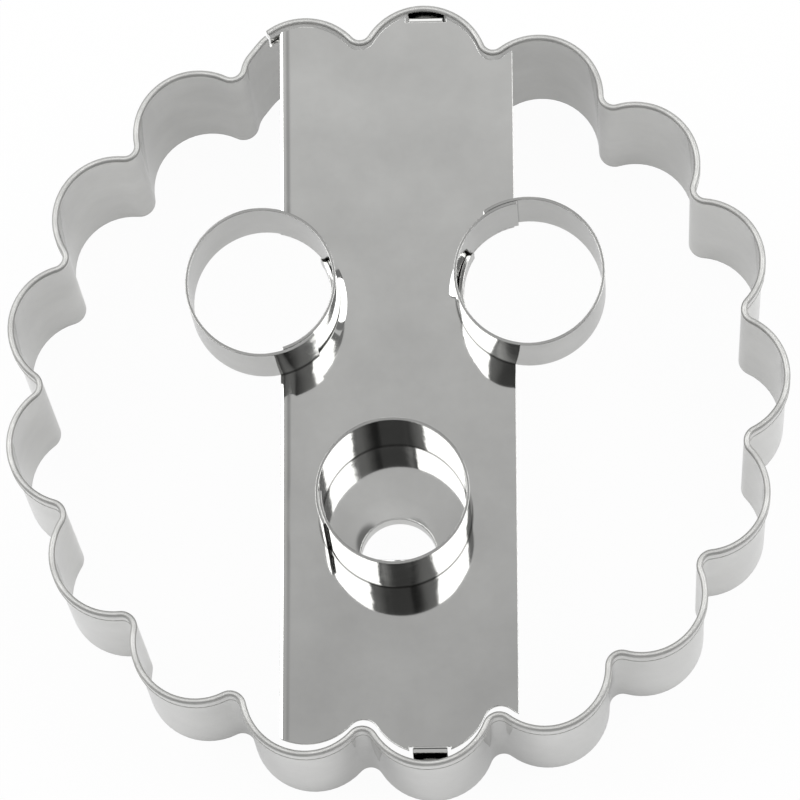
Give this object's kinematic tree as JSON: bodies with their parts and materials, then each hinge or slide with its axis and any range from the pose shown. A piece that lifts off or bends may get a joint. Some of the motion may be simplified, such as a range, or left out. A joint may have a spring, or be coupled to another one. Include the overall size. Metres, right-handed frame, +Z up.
{
  "type": "cookie cutter",
  "caption": "Round fluted linzer cookie cutter in thin bright sheet metal: a scalloped band with a folded rim, a cross strip welded inside it, and small eye rings standing on the strip.",
  "frame": {"origin": "on the fluted band's axis, at the level of its lower (cutting) edge", "axes": "+Z up from the cutting edge to the folded rim and the eye rings; +Y along the cross strip, away from the single lower ring; +X across the strip, through a flute crest"},
  "size_m": [0.0793, 0.0796, 0.0272],
  "materials": {
    "bright_tinplate": "thin rolled steel sheet with a bright, nearly mirror-like tinned surface"
  },
  "bodies": {
    "root": {"fluted_band": "bright_tinplate", "bridge_strip": "bright_tinplate", "left_ring": "bright_tinplate", "right_ring": "bright_tinplate", "lower_ring": "bright_tinplate"}
  },
  "joints": []
}
